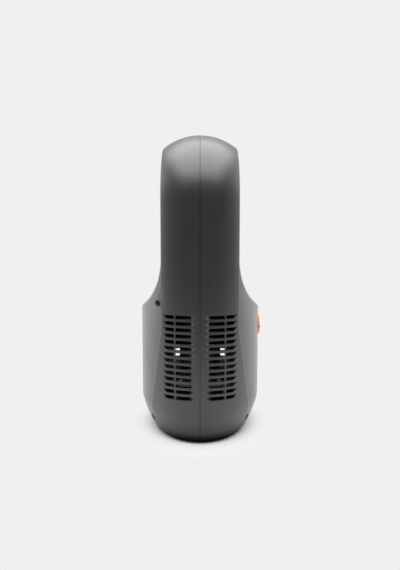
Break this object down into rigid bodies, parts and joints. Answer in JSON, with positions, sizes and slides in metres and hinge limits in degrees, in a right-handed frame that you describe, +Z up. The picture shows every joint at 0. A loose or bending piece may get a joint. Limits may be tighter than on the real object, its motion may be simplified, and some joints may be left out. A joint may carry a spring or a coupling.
{
  "type": "bladeless hoop fan",
  "caption": "Free-standing bladeless fan: a hollow arched hoop with an air slit, on a deeper slotted base that holds the impeller, its motor, a speed dial, a push button and a battery.",
  "frame": {"origin": "on the floor, under the middle of the fan's outer box; the seam of the casing lies 0.75 mm behind it", "axes": "+Z up, +X to the front, the way the air leaves the hoop, +Y to the fan's left"},
  "size_m": [0.1368, 0.1556, 0.33],
  "materials": {
    "casing_grey": "matte moulded plastic, fine texture",
    "pod_grey": "matte moulded plastic",
    "inner_black": "satin black plastic",
    "dial_orange": "satin plastic",
    "button_grey": "satin plastic",
    "foot_rubber": "soft rubber",
    "steel": "plated steel",
    "winding_copper": "enamelled copper wire on a steel core",
    "board_green": "solder mask",
    "cell_blue": "shrink sleeve",
    "gasket_foam": "closed-cell foam",
    "lead_rubber": "cable sheath"
  },
  "bodies": {
    "body": {"front_shell": "casing_grey", "rear_shell": "casing_grey", "nozzle_ring": "casing_grey", "motor_cradle": "pod_grey", "pod_cap": "pod_grey", "base_plate": "inner_black", "chassis": "inner_black", "impeller_duct": "inner_black", "diffuser": "inner_black", "encoder_body": "inner_black", "tact_switch": "inner_black", "foot_1": "foot_rubber", "foot_2": "foot_rubber", "foot_3": "foot_rubber", "foot_4": "foot_rubber", "lower_bearing": "steel", "upper_bearing": "steel", "inlet_socket": "steel", "upper_screw_1": "steel", "upper_screw_2": "steel", "lower_screw_1": "steel", "lower_screw_2": "steel", "lower_screw_3": "steel", "lower_screw_4": "steel", "plate_screw_1": "steel", "plate_screw_2": "steel", "plate_screw_3": "steel", "plate_screw_4": "steel", "base_screw_1": "steel", "base_screw_2": "steel", "base_screw_3": "steel", "base_screw_4": "steel", "board_screw_1": "steel", "board_screw_2": "steel", "motor_stator": "winding_copper", "control_board": "board_green", "charge_board": "board_green", "battery_cell_1": "cell_blue", "battery_cell_2": "cell_blue", "battery_cell_3": "cell_blue", "battery_cell_4": "cell_blue", "duct_gasket": "gasket_foam", "motor_lead": "lead_rubber", "battery_lead": "lead_rubber"},
    "rotor": {"impeller": "inner_black", "hub_nut": "steel", "motor_shaft": "steel", "rotor_core": "steel"},
    "dial": {"speed_dial": "dial_orange", "dial_mark": "inner_black", "encoder_spindle": "steel"},
    "button": {"power_button": "button_grey"}
  },
  "joints": [
    {"name": "impeller_spin", "type": "hinge", "parent": "body", "child": "rotor", "pos_m": [-0.00075, 0, 0.119], "axis": [0, 0, 1], "continuous": true},
    {"name": "dial_turn", "type": "hinge", "parent": "body", "child": "dial", "pos_m": [0.06775, 0, 0.1144], "axis": [-1, 0, 0], "range_deg": [0, 270]},
    {"name": "button_press", "type": "slide", "parent": "body", "child": "button", "axis": [-1, 0, 0], "range_m": [0, 0.0006], "stiffness_N_per_m": 1500, "springref_m": -0.0006}
  ]
}
